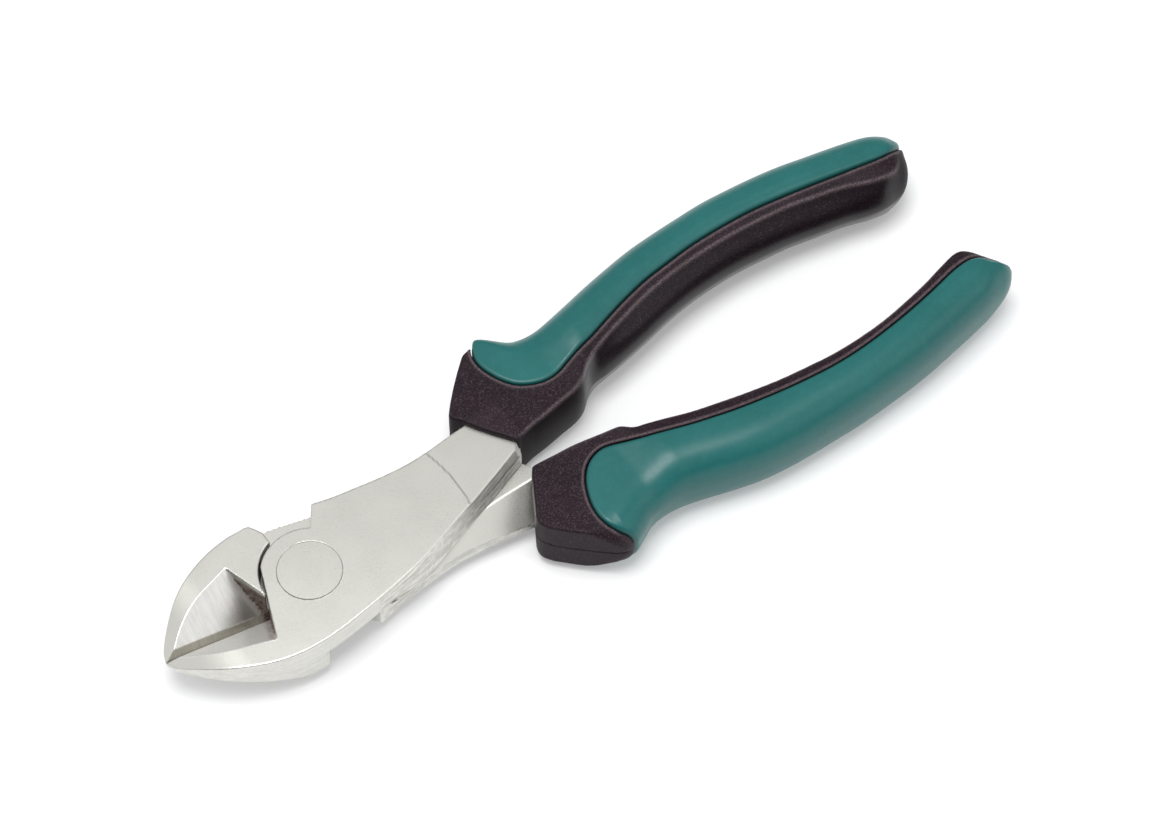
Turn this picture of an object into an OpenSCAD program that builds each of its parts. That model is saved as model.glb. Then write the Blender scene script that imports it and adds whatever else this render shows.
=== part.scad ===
// Diagonal cutting pliers, 180 mm class: two forged lap-joint halves on a
// flush rivet, each with a two-component grip on its tang.
// +X runs from the joint to the handles, +Z is the joint axis, and the origin
// is where that axis leaves the lower flat face of the joint. The blades are
// closed. The upper half carries the jaw at -Y and the handle at +Y.

/* [Forged halves] */
// Thickness of the joint and jaws
head_t = 10.4; // [9.6:0.1:11.2]
// Clearance between the two plates of the lap joint
lap_gap = 0.12; // [0.06:0.02:0.3]
// Radius of each half's hub where the other jaw runs round it
hub_r = 9.3; // [8.6:0.1:9.6]
// Running gap between a hub and the other half's jaw
hub_gap = 0.25; // [0.15:0.05:0.5]
// Length of the nose, from the joint axis to the tip
nose_l = 31; // [30:0.5:32]
// Width of steel left at the end of each tang
tang_end_w = 5; // [4:0.5:6]

/* [Blades] */
// Slope of the cutting edges from the tip down to the throat, degrees
edge_slope = 12.4; // [10:0.2:14]
// Slope of the wide grinding face of each blade, degrees
bevel_deg = 37.4; // [34:0.2:40]
// Slope of the narrow cutting bevel, degrees
land_deg = 65.6; // [60:0.2:70]
// Gap kept between the two closed cutting edges
edge_gap = 0.1; // [0.06:0.02:0.2]

/* [Rivet] */
// Diameter of the flush head
rivet_head_d = 12.2; // [11:0.1:12.8]
// Diameter of the shank
rivet_d = 8; // [7:0.5:8.5]
// Radial running clearance in the moving half
rivet_clear = 0.05; // [0.02:0.01:0.1]

/* [Grips] */
// Height of a handle
grip_h = 16; // [14.5:0.1:17]
// Height of the collar at the front of a handle
collar_h = 12.8; // [12:0.1:13.4]
// Thickness of the soft cover
cover_t = 1.8; // [1.5:0.1:2]
// Extra half width of a handle
grip_fat = 0; // [-0.4:0.1:0.6]

/* [Pose] */
// Opening angle of the upper lever
opening = 0; // [0:1:40]

/* [Hidden] */
zm = head_t / 2;
zt = head_t / 2;
g = lap_gap / 2;
tang_top = 3.9;
steel = [0.80, 0.79, 0.75];
black = [0.22, 0.17, 0.19];
green = [0.19, 0.47, 0.45];

// ---- helpers -------------------------------------------------------------
function sgn(v) = v < 0 ? -1 : 1;
function clamp(v, lo, hi) = min(max(v, lo), hi);
function seg(x, t, i = 0) = (i >= len(t) - 2 || x < t[i + 1][0]) ? i : seg(x, t, i + 1);
function slope_at(t, i) = i == 0 ? (t[1][1] - t[0][1]) / (t[1][0] - t[0][0])
    : i == len(t) - 1 ? (t[i][1] - t[i - 1][1]) / (t[i][0] - t[i - 1][0])
    : (t[i + 1][1] - t[i - 1][1]) / (t[i + 1][0] - t[i - 1][0]);
// smooth value of a table of [x, value] rows
function tab(x, t) = let (xx = clamp(x, t[0][0], t[len(t) - 1][0]), i = seg(xx, t),
    h = t[i + 1][0] - t[i][0], u = (xx - t[i][0]) / h,
    m0 = slope_at(t, i) * h, m1 = slope_at(t, i + 1) * h)
    (2*u*u*u - 3*u*u + 1) * t[i][1] + (u*u*u - 2*u*u + u) * m0
    + (-2*u*u*u + 3*u*u) * t[i + 1][1] + (u*u*u - u*u) * m1;
function arc(r, a0, a1, n) = [for (i = [0 : n]) let (a = a0 + (a1 - a0) * i / n) [r * cos(a), r * sin(a)]];
function run(t, x0, x1, n) = [for (i = [0 : n]) let (x = x0 + (x1 - x0) * i / n) [x, tab(x, t)]];

// ---- outlines of the upper half, seen from above -------------------------
// outer edge of the jaw and hub, then the inner edge of the neck (y negated)
jaw_edge = [[-31, 0], [-30.3, 1.9], [-27.8, 4.9], [-23.6, 8.7], [-19, 11.4], [-14.3, 13.2],
            [-9.5, 14.1], [-5, 14.2], [0, 13.7], [9.7, 12.0], [19.1, 9.7], [28.5, 6.3], [37.9, 2.8], [47.2, -0.9]];
// outer edge of the neck
neck_edge = [[7.8, 12.1], [11.2, 11.3], [18.8, 9.7], [28.3, 8.95], [37.7, 9.8], [42, 10.3], [47, 10.7]];
// tang inside the grip: centre line and half width
tang_mid = [[50, 8.4], [58, 10.3], [68, 13.6], [76, 16.6], [92, 20.0], [108, 21.1], [122, 20.2]];
tang_half = [[50, 3.2], [60, 3.2], [76, 3.2], [100, 2.9], [122, tang_end_w / 2]];

function jaw_x(x) = x * nose_l / 31;
function jaw_run(x0, x1, n) = [for (p = run(jaw_edge, x0, x1, n)) [p[0] < 0 ? jaw_x(p[0]) : p[0], -p[1]]];

// whole upper plate: jaw, hub, neck and tang
function plate_outline() = concat(
    [[-nose_l, -edge_gap / 2]],
    jaw_run(-30.6, 46.6, 34), [[48.2, 2.8]],
    [for (x = [50 : 8 : 122]) [x, tab(x, tang_mid) - tab(x, tang_half)]],
    [for (x = [122 : -8 : 50]) [x, tab(x, tang_mid) + tab(x, tang_half)]],
    [for (x = [46 : -3.4 : 8]) [x, tab(x, neck_edge)]],
    [[7.8, 12.1]],
    arc(hub_r, 58, 178, 24),
    [[-hub_r - 0.3, -edge_gap / 2]]);

// the jaw alone, which fills the other plate's level too
function jaw_outline() = concat(
    [[-nose_l, -edge_gap / 2]],
    jaw_run(-30.6, -5.4, 22),
    [[-4.4, -13.7], [-3.6, -12.2], [-3.1, -11.5]],
    [for (p = arc(hub_r + hub_gap, 252, 181, 16)) p],
    [[-hub_r - hub_gap - 0.1, -edge_gap / 2]]);

// ---- grinding of the nose ------------------------------------------------
// side view of the jaws: rounded top of the nose and rising underside
module nose_envelope() {
    r = 19; x0 = -19;
    top = [for (i = [0 : 12]) let (x = x0 - (nose_l + 1 + x0) * i / 12) [x, zt - r + sqrt(r * r - (x - x0) * (x - x0))]];
    pts = concat([[140, zt], [x0, zt]], top, [[-nose_l - 1, -0.5], [-9, -zt], [140, -zt]]);
    translate([0, 60, 0]) rotate([90, 0, 0]) linear_extrude(height = 120) polygon(pts);
}

// ground flat that narrows the outer underside of a jaw towards the tip (s: side, -1 or 1)
module cheek_cut(s) {
    mirror([0, s < 0 ? 1 : 0, 0]) translate([-10, 13.9, -zt]) rotate([0, 148.4, 140.4])
        translate([-40, -40, 0]) cube([80, 80, 30]);
}

// the V between the blades: cutting bevel, wide bevel and end wall (s: side)
module blade_recess(s) {
    w = 0.9; l = 16;
    h = w * tan(land_deg);
    mirror([0, s < 0 ? 1 : 0, 0]) intersection() {
        translate([-nose_l + 0.4, 0, 0.81]) rotate([0, edge_slope, 0]) translate([-4, 0, 0])
            rotate([90, 0, 90]) linear_extrude(height = 40)
                polygon([[-0.5, 0], [0, 0], [w, h], [w + l, h + l * tan(bevel_deg)], [w + l, 30], [-0.5, 30]]);
        translate([0, 0, -20]) linear_extrude(height = 40)
            polygon([[-40, -0.5], [-9.52, -0.5], [-9.7, 0], [-14.1, 12.2], [-40, 12.2]]);
    }
}

// shallow flank below the cutting edge
module blade_relief(s) {
    mirror([0, s < 0 ? 1 : 0, 0]) {
        translate([-nose_l - 2, 0, -0.75]) rotate([0, edge_slope, 0]) rotate([90, 0, 90])
            linear_extrude(height = 24) polygon([[-0.5, -8], [1.4, -8], [0, 0], [-0.5, 0]]);
    }
}

// ---- the two forgings ----------------------------------------------------
module half_blank() {
    intersection() {
        union() {
            plate();
            translate([0, 0, -zt]) linear_extrude(height = head_t) polygon(jaw_outline());
        }
        nose_envelope();
    }
}

// forging taper: the mating side of the neck rises towards its outer edge
module neck_thinning() {
    translate([13, 6.4, 0]) rotate([0, 0, -1]) rotate([90, 0, 90]) linear_extrude(height = 31)
        polygon([[0, -0.5], [0, g], [5.6, 2.9], [5.6, -0.5]]);
}

module upper_half() {
    color(steel) translate([0, 0, zm]) rotate([0, 0, opening]) difference() {
        half_blank();
        cheek_cut(-1);
        blade_recess(-1);
        blade_relief(-1);
        neck_thinning();
        translate([0, 0, -zt - 1]) cylinder(r = rivet_d / 2 + rivet_clear, h = head_t + 2, $fn = 96);
        translate([0, 0, zt - (rivet_head_d - rivet_d) / 2])
            cylinder(r1 = rivet_d / 2 + rivet_clear, r2 = rivet_head_d / 2 + rivet_clear, h = (rivet_head_d - rivet_d) / 2, $fn = 96);
    }
}

module lower_half() {
    color(steel) translate([0, 0, zm]) difference() {
        intersection() {
            rotate([180, 0, 0]) difference() {
                union() {
                    plate();
                    translate([0, 0, -zt]) linear_extrude(height = head_t) polygon(jaw_outline());
                }
                neck_thinning();
            }
            nose_envelope();
        }
        cheek_cut(1);
        blade_recess(1);
        blade_relief(1);
        translate([0, 0, -zt - 1]) cylinder(r = rivet_d / 2, h = head_t + 2, $fn = 96);
        translate([0, 0, -zt]) cylinder(r1 = rivet_head_d / 2, r2 = rivet_d / 2, h = (rivet_head_d - rivet_d) / 2, $fn = 96);
    }
}

module joint_rivet() {
    c = (rivet_head_d - rivet_d) / 2;
    color(steel) union() {
        cylinder(r = rivet_d / 2, h = head_t, $fn = 96);
        cylinder(r1 = rivet_head_d / 2, r2 = rivet_d / 2, h = c, $fn = 96);
        translate([0, 0, head_t - c]) cylinder(r1 = rivet_d / 2, r2 = rivet_head_d / 2, h = c, $fn = 96);
    }
}

// ---- grips ---------------------------------------------------------------
// inner and outer side of each handle, seen from above (lower handle mirrored)
upper_in = [[39.8, 13.6], [41.7, 10.3], [44.5, 6], [47.4, 1.8], [50, 2], [54, 2.4], [58, 2.9], [62, 3.5], [64.5, 4.2], [66.5, 5.3], [69, 6.9],
            [73, 7.6], [78, 8.6], [84, 10], [90, 11.5], [96, 12.6], [102, 13.2], [108, 13.4], [114, 13.1], [120, 12.6], [126, 11.6], [132, 10.6],
            [137, 9.1], [141, 8.8], [144.5, 9.6], [147.5, 11.6], [149.2, 13.8], [150.3, 16.4]];
upper_out = [[39.8, 14.2], [42, 16.4], [46, 20.6], [49.6, 23.8], [51.5, 24.4], [54, 25.2], [57, 24.2], [60, 22.4], [64, 21.9], [68, 22.2], [72, 23.1],
             [78, 24.6], [84, 25.9], [90, 27], [96, 27.6], [102, 28], [108, 28.3], [114, 28], [120, 27.7], [126, 27], [132, 25.9], [138, 24.8],
             [143, 23.7], [146.5, 22.5], [149, 20.8], [150.3, 18.4]];
lower_in = [[41, 14.4], [42, 12.4], [44, 8.9], [46, 5.6], [46.8, 4.6], [51, 4.6], [55, 4.6], [59, 4.9], [63, 5.5], [65.8, 6.2], [67.8, 7.6],
            [70, 8.1], [74, 9], [79, 10.3], [85, 11.5], [91, 12.7], [97, 13.7], [103, 14.3], [109, 14.7], [115, 14.5], [121, 13.9], [127, 12.8],
            [133, 11.5], [138, 10.2], [142, 9.4], [145.8, 10.2], [148.6, 12.2], [150.4, 14.4], [151.2, 16.4]];
lower_out = [[41, 15.2], [42.5, 18.4], [46, 22], [49.5, 25], [51.5, 26.6], [53.5, 27.5], [55.6, 27.2], [58.3, 25.8], [61.3, 24], [65.3, 23.4],
             [69.3, 23.4], [73.3, 24.2], [79, 25.7], [85, 27], [91, 27.7], [97, 27.6], [103, 27.5], [109, 27.3], [115, 26.9], [121, 26.3],
             [127, 25.4], [133, 24.2], [139, 22.9], [144.3, 21.6], [147.8, 20.4], [150, 18.8], [151.2, 17]];
// inner edge of the soft cover on the top face
upper_edge = [[50.5, 20.2], [51.2, 17], [52.2, 14.5], [54, 12.2], [56.4, 10.6], [59.2, 9.8], [62, 10.1], [64.6, 11], [68, 12.1], [72, 13.2], [77, 15],
              [82, 16.5], [87.5, 18], [93, 18.9], [100, 19.7], [107, 20.1], [114, 19.9], [120, 19.3], [126, 18.5], [132, 17.5], [138, 16.2], [143, 15.8],
              [146, 16.3], [149.2, 18.6]];
lower_edge = [[51, 20.3], [51.7, 16.5], [53.5, 12.4], [56.4, 9.6], [59.4, 8.6], [62.1, 9.2], [65.7, 10.6], [69.3, 12.1], [73.2, 13.2], [77, 14.4],
              [81, 15.3], [85, 16.3], [91, 17.2], [97.8, 18.1], [104, 18.6], [109, 18.8], [115, 18.4], [121.9, 17.5], [127.3, 16.7], [133, 15.3],
              [139, 14], [144, 13.8], [148, 15.4], [150.4, 17]];
// half height as a share between collar (0) and handle (1)
rise = [[37, 0], [61, 0.03], [65, 0.45], [68, 0.88], [71, 1], [152, 1]];
// half height towards the round end
tail = [[-20, 1], [-12, 0.99], [-7, 0.95], [-4.4, 0.88], [-2.4, 0.75], [-1.1, 0.6], [0, 0.38]];
// squareness of the outer and of the inner side of the section
square_out = [[37, 12], [50, 12], [52, 7], [54, 4], [60, 3.2], [70, 2.7], [90, 2.5], [152, 2.4]];
square_in = [[37, 12], [56, 9], [62, 6], [68, 3.2], [76, 2.4], [90, 2.2], [152, 2.2]];

// k: 0 for the upper grip, 1 for the lower one
sides = [[upper_in, upper_out, upper_edge], [lower_in, lower_out, lower_edge]];
function x_end(k) = sides[k][1][len(sides[k][1]) - 1][0];
function x_first(k) = sides[k][2][0][0];
function x_last(k) = sides[k][2][len(sides[k][2]) - 1][0];
function gy_in(k, x) = tab(x, sides[k][0]) - (x > 60 ? grip_fat : 0);
function gy_out(k, x) = tab(x, sides[k][1]) + (x > 60 ? grip_fat : 0);
function ghalf(k, x) = (collar_h / 2 + (grip_h - collar_h) / 2 * clamp(tab(x, rise), 0, 1)) * tab(x - x_end(k), tail);
function gmid(k, x) = (gy_in(k, x) + gy_out(k, x)) / 2;
function gwid(k, x) = (gy_out(k, x) - gy_in(k, x)) / 2;
// a point of the section at angle f from the outer side, drawn in by t
function spt(k, x, f, t) = let (p = tab(x, abs(f) > 90 && abs(f) < 270 ? square_in : square_out),
    a = max(gwid(k, x) - t, 0.1), b = max(ghalf(k, x) - t, 0.1))
    [x, gmid(k, x) + a * sgn(cos(f)) * pow(abs(cos(f)), 2 / p), b * sgn(sin(f)) * pow(abs(sin(f)), 2 / p)];
// angle at which the cover's edge lies
function fedge(k, x) = let (c = clamp((tab(x, sides[k][2]) - gmid(k, x)) / gwid(k, x), -0.97, 0.97),
    p = tab(x, c < 0 ? square_in : square_out)) acos(sgn(c) * pow(abs(c), p / 2));
function depth(k, x) = let (c0 = x_first(k), c1 = x_last(k)) x < c0 - 0.01 || x > c1 + 0.01 ? 0
    : cover_t * clamp(0.3 + (x - c0) / 2, 0, 1) * clamp(0.3 + (c1 - x) / 2, 0, 1);
function fcover(k, x) = fedge(k, clamp(x, x_first(k), x_last(k)));

na = 12; // steps along the cover's arc
nb = 12; // steps along the core's own arc
function core_x(k) = let (s = k * 1, c0 = x_first(k), c1 = x_last(k), e = x_end(k)) concat(
    k == 0 ? [39.8, 40.6, 41.7, 42.6, 43.5, 44.5, 45.5, 46.5, 47.4, 48.6, 49.6]
           : [41, 41.5, 42, 42.6, 43.5, 44.3, 45.2, 46, 46.8, 48, 49.5],
    [c0 - 0.2, c0], [for (x = [51.4, 52.4, 54, 56, 58, 60, 62, 63.6, 65, 66, 67, 68.5, 71, 74, 78]) x + s * 0.5],
    [for (x = [83 : 5 : 133]) x], [for (d = [-13, -10.5, -8.5, -7, -5.5, -4.2, -3, -2]) e + d], [c1, c1 + 0.2, e - 0.5, e]);
function cover_x(k) = [for (x = core_x(k)) if (x > x_first(k) - 0.01 && x < x_last(k) + 0.01) x];

function core_ring(k, x) = let (fe = fcover(k, x), d = depth(k, x))
    concat([for (j = [0 : na]) spt(k, x, -fe + 2 * fe * j / na, d)],
           [for (j = [0 : nb]) spt(k, x, fe + (360 - 2 * fe) * j / nb, 0)]);
function cover_ring(k, x) = let (fe = fcover(k, x), d = depth(k, x))
    concat([for (j = [0 : na]) spt(k, x, -fe + 2 * fe * j / na, 0)],
           [for (j = [na : -1 : 0]) spt(k, x, -fe + 2 * fe * j / na, d)]);

// skin over a list of equal rings
module rings_solid(rr) {
    m = len(rr[0]); n = len(rr);
    pts = [for (r = rr) for (p = r) p];
    side = [for (i = [0 : n - 2]) for (j = [0 : m - 1]) let (a = i * m + j, b = i * m + (j + 1) % m, c = a + m, d = b + m)
        each [[a, c, d], [a, d, b]]];
    polyhedron(points = pts, faces = concat(side, [[for (j = [0 : m - 1]) j]], [[for (j = [m - 1 : -1 : 0]) (n - 1) * m + j]]), convexity = 8);
}

// plate with the part of the tang inside the moulding forged lower
module plate() {
    difference() {
        translate([0, 0, g]) linear_extrude(height = zt - g) polygon(plate_outline());
        translate([48.8, -10, tang_top]) cube([90, 60, 10]);
    }
}

module grip_core(k) {
    difference() {
        rings_solid([for (x = core_x(k)) core_ring(k, x)]);
        plate();
    }
}

module grip_cover(k) {
    rings_solid([for (x = cover_x(k)) cover_ring(k, x)]);
}

module upper_grip_core() {
    color(black) translate([0, 0, zm]) rotate([0, 0, opening]) grip_core(0);
}
module lower_grip_core() {
    color(black) translate([0, 0, zm]) rotate([180, 0, 0]) grip_core(1);
}
module upper_grip_cover() {
    color(green) translate([0, 0, zm]) rotate([0, 0, opening]) grip_cover(0);
}
module lower_grip_cover() {
    color(green) translate([0, 0, zm]) rotate([180, 0, 0]) grip_cover(1);
}

lower_half();
upper_half();
joint_rivet();
lower_grip_core();
upper_grip_core();
lower_grip_cover();
upper_grip_cover();
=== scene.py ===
import math

import bpy
import numpy as np
from mathutils import Matrix, Vector


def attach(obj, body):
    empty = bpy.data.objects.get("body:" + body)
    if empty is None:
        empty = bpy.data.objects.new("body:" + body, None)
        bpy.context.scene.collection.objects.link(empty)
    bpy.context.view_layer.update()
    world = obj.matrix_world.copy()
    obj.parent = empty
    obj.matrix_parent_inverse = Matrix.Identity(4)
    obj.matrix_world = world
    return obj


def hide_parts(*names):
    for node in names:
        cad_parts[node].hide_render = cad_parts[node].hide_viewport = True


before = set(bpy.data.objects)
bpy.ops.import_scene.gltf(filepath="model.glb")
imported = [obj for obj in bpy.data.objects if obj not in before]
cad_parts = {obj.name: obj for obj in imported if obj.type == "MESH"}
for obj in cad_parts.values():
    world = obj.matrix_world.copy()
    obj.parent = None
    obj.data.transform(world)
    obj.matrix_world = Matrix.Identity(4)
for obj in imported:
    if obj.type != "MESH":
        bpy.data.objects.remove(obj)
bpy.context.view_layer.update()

ZT = 5.2  # half thickness of the head, mm
G = 0.06  # half the lap clearance, mm


# ---------------------------------------------------------------- tables, mm
JAW_EDGE = [(-31, 0), (-30.3, 1.9), (-27.8, 4.9), (-23.6, 8.7), (-19, 11.4), (-14.3, 13.2), (-9.5, 14.1), (-5, 14.2),
            (0, 13.7), (9.7, 12.0), (19.1, 9.7), (28.5, 6.3), (37.9, 2.8), (47.2, -0.9)]
NECK_EDGE = [(7.8, 12.1), (11.2, 11.3), (18.8, 9.7), (28.3, 8.95), (37.7, 9.8), (42, 10.3), (47, 10.7)]
TANG_MID = [(50, 8.4), (58, 10.3), (68, 13.6), (76, 16.6), (92, 20.0), (108, 21.1), (122, 20.2)]
TANG_HALF = [(50, 3.2), (60, 3.2), (76, 3.2), (100, 2.9), (122, 2.5)]

UPPER_IN = [(52, 2.2), (54, 2.4), (58, 2.9), (62, 3.5), (64.5, 4.2), (66.5, 5.3), (69, 6.9), (73, 7.6), (78, 8.6), (84, 10),
            (90, 11.5), (96, 12.6), (102, 13.2), (108, 13.4), (114, 13.1), (120, 12.6), (126, 11.6), (132, 10.6),
            (137, 9.3), (141, 8.9), (144.5, 9.6), (147.3, 11.4), (149.2, 13.8), (150.2, 16.4)]
UPPER_OUT = [(51.6, 24.0), (52.6, 24.95), (54, 25.05), (57, 23.8), (60, 22.3), (64, 21.75), (68, 22.2), (72, 23.1), (78, 24.6), (84, 25.9),
             (90, 27), (96, 27.6), (102, 28), (108, 28.3), (114, 28.1), (120, 27.7), (126, 27), (132, 25.9), (138, 24.8),
             (143, 23.7), (146.5, 22.7), (149, 21), (150.2, 18.6)]
LOWER_IN = [(51, 4.6), (55, 4.6), (59, 4.9), (63, 5.5), (65.8, 6.2), (67.8, 7.6), (70, 8.1), (74, 9), (79, 10.3), (85, 11.5),
            (91, 12.7), (97, 13.7), (103, 14.3), (109, 14.7), (115, 14.5), (121, 13.9), (127, 12.8), (133, 11.5),
            (138, 10.2), (142, 9.5), (145.6, 10.4), (148.2, 12.4), (149.9, 14.8), (151.2, 17.4)]
LOWER_OUT = [(51.5, 26.6), (53.5, 27.5), (55.6, 27.2), (58.3, 25.8), (61.3, 24.2), (65.3, 23.4), (69.3, 23.4), (73.3, 24.2),
             (79, 25.7), (85, 27), (91, 27.6), (97, 27.7), (103, 27.6), (109, 27.4), (115, 26.9), (121, 26.3), (127, 25.4),
             (133, 24.2), (139, 22.9), (144.3, 21.6), (147.8, 20.4), (150, 19.0), (151.2, 17.6)]
UPPER_FRONT = [((51, 2.05), 0), ((47.5, 1.5), 0.5), ((44.4, 5.6), 0), ((42.4, 8.5), 0), ((41.1, 10.7), 0), ((39.3, 13.1), 0.9),
               ((41.6, 15.9), 0), ((44, 18.5), 0), ((46.3, 20.8), 0), ((49.3, 23.6), 0.8), ((51.0, 23.9), 0)]
LOWER_FRONT = [((50, 4.6), 0), ((46.6, 4.7), 0.6), ((44.0, 9.3), 0), ((41.4, 14.0), 0.0), ((40.8, 16.2), 1.6),
               ((42.6, 18.6), 0), ((45.6, 21.5), 0), ((48.6, 24.2), 0)]
UPPER_COVER = [(53.2, 33), (53.0, 28), (52.6, 26.0), (51.9, 24.5), (51.0, 22.9), (50.5, 21), (50.6, 19), (51.2, 17), (52.2, 14.7),
               (54, 12.2), (56.4, 10.6), (59.2, 9.7), (62, 9.8), (64.6, 10.5), (68, 11.5), (72, 12.6), (77, 14.35), (82, 15.95),
               (87.5, 17.4), (93, 18.3), (100, 19.2), (107, 19.5), (114, 19.4), (120, 18.85), (126, 18.05), (132, 17.1), (138, 16.1),
               (143, 15.4), (146.2, 15.7), (148.6, 16.6), (150.3, 17.8), (153, 19.5), (157, 21), (158, 33), (100, 40)]
LOWER_COVER = [(56.6, 35), (56.2, 30), (55.7, 28.2), (54.5, 26.8), (53, 25.5), (51.7, 23.6), (51.1, 21.3), (51.2, 19), (51.8, 16.5),
               (53.1, 13.5), (54.9, 11.1), (57, 9.6), (59.6, 8.9), (62.1, 9.3), (65.7, 10.85), (69.3, 12.25), (73.2, 13.45), (77, 14.55),
               (81, 15.5), (85, 16.4), (91, 17.4), (97.8, 18.25), (104, 18.75), (109, 18.85), (115, 18.5), (121.9, 17.6),
               (127.3, 16.7), (133, 15.5), (139, 14.1), (143, 13.75), (145.7, 14.3), (147.4, 15.4), (149.4, 16.8), (154, 17.5),
               (158, 19), (159, 35), (100, 42)]
RIDGE = [(48, 0.25), (52, 0.7), (56, 0.9), (60, 1.2), (66, 1.2), (68.5, 1.7), (71.5, 2.7), (76.5, 3.6), (85, 4.2), (92, 4.1),
         (105, 3.9), (123, 4.1), (133, 3.8), (140, 3.0), (144, 2.2), (150, 2.0)]


# ------------------------------------------------------------------- helpers
def tab(x, rows):
    """Smooth value of a table of (x, value) rows."""
    t = np.array(rows, float)
    X, V = t[:, 0], t[:, 1]
    m = np.empty(len(X))
    m[0] = (V[1] - V[0]) / (X[1] - X[0])
    m[-1] = (V[-1] - V[-2]) / (X[-1] - X[-2])
    m[1:-1] = (V[2:] - V[:-2]) / (X[2:] - X[:-2])
    x = np.clip(np.asarray(x, float), X[0], X[-1])
    i = np.clip(np.searchsorted(X, x, side="right") - 1, 0, len(X) - 2)
    h = X[i + 1] - X[i]
    u = (x - X[i]) / h
    return ((2 * u**3 - 3 * u**2 + 1) * V[i] + (u**3 - 2 * u**2 + u) * m[i] * h
            + (-2 * u**3 + 3 * u**2) * V[i + 1] + (u**3 - u**2) * m[i + 1] * h)


def sm(x, a, b):
    u = np.clip((x - a) / (b - a), 0, 1)
    return u * u * (3 - 2 * u)


def smin(a, b, k):
    h = np.clip(0.5 + 0.5 * (b - a) / k, 0, 1)
    return b * (1 - h) + a * h - k * h * (1 - h)


def smax(a, b, k):
    return -smin(-a, -b, k)


def rmax(a, b, r):
    """Intersection with the edge rounded to radius r."""
    return np.minimum(np.maximum(a + r, b + r), 0) + np.hypot(np.maximum(a + r, 0), np.maximum(b + r, 0)) - r


def bump(x, c, w):
    return np.exp(-(((x - c) / w) ** 2))


def corners(rows):
    """Points of a polyline whose corners with a radius are rounded off."""
    pts = [np.array(p, float) for p, _ in rows]
    out = []
    for i, (p, r) in enumerate(rows):
        if r <= 0 or i == 0 or i == len(rows) - 1:
            out.append(tuple(pts[i]))
            continue
        a, b = pts[i - 1] - pts[i], pts[i + 1] - pts[i]
        a, b = a / np.linalg.norm(a) * r, b / np.linalg.norm(b) * r
        for u in np.linspace(0, 1, 7):
            q = pts[i] + a * (1 - u) ** 2 + b * u**2
            out.append(tuple(q))
    return out


def spline(pts, n=5):
    p = np.array(pts, float)
    p = np.vstack([2 * p[0] - p[1], p, 2 * p[-1] - p[-2]])
    out = []
    for i in range(1, len(p) - 2):
        for u in np.arange(n) / n:
            out.append(0.5 * (2 * p[i] + (p[i + 1] - p[i - 1]) * u + (2 * p[i - 1] - 5 * p[i] + 4 * p[i + 1] - p[i + 2]) * u**2
                              + (3 * p[i] - p[i - 1] - 3 * p[i + 1] + p[i + 2]) * u**3))
    out.append(p[-2])
    return [tuple(q) for q in out]


def poly_sdf(poly, X, Y):
    """Signed distance to a closed polygon, negative inside."""
    P = np.array(poly, float)
    Q = np.roll(P, -1, 0)
    best = np.full(X.shape, 1e9)
    inside = np.zeros(X.shape, bool)
    for (ax, ay), (bx, by) in zip(P, Q):
        ex, ey = bx - ax, by - ay
        L = ex * ex + ey * ey
        if L < 1e-12:
            continue
        wx, wy = X - ax, Y - ay
        t = np.clip((wx * ex + wy * ey) / L, 0, 1)
        best = np.minimum(best, (wx - t * ex) ** 2 + (wy - t * ey) ** 2)
        c = (ay > Y) != (by > Y)
        if c.any():
            inside ^= c & (X < ax + wy * ex / (ey if abs(ey) > 1e-12 else 1e-12))
    d = np.sqrt(best)
    return np.where(inside, -d, d)


class Field:
    """A plan-view distance field, read between its grid points."""

    def __init__(self, poly, x0, x1, y0, y1, h):
        self.x0, self.y0, self.h = x0, y0, h
        xs = np.arange(x0, x1 + h, h)
        ys = np.arange(y0, y1 + h, h)
        self.v = poly_sdf(poly, *np.meshgrid(xs, ys, indexing="ij"))

    def __call__(self, x, y):
        x, y = np.broadcast_arrays(np.asarray(x, float), np.asarray(y, float))
        a = np.clip((x - self.x0) / self.h, 0, self.v.shape[0] - 1.001)
        b = np.clip((y - self.y0) / self.h, 0, self.v.shape[1] - 1.001)
        i, j = a.astype(int), b.astype(int)
        u, w = a - i, b - j
        v = self.v
        return ((v[i, j] * (1 - u) + v[i + 1, j] * u) * (1 - w) + (v[i, j + 1] * (1 - u) + v[i + 1, j + 1] * u) * w)


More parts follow.
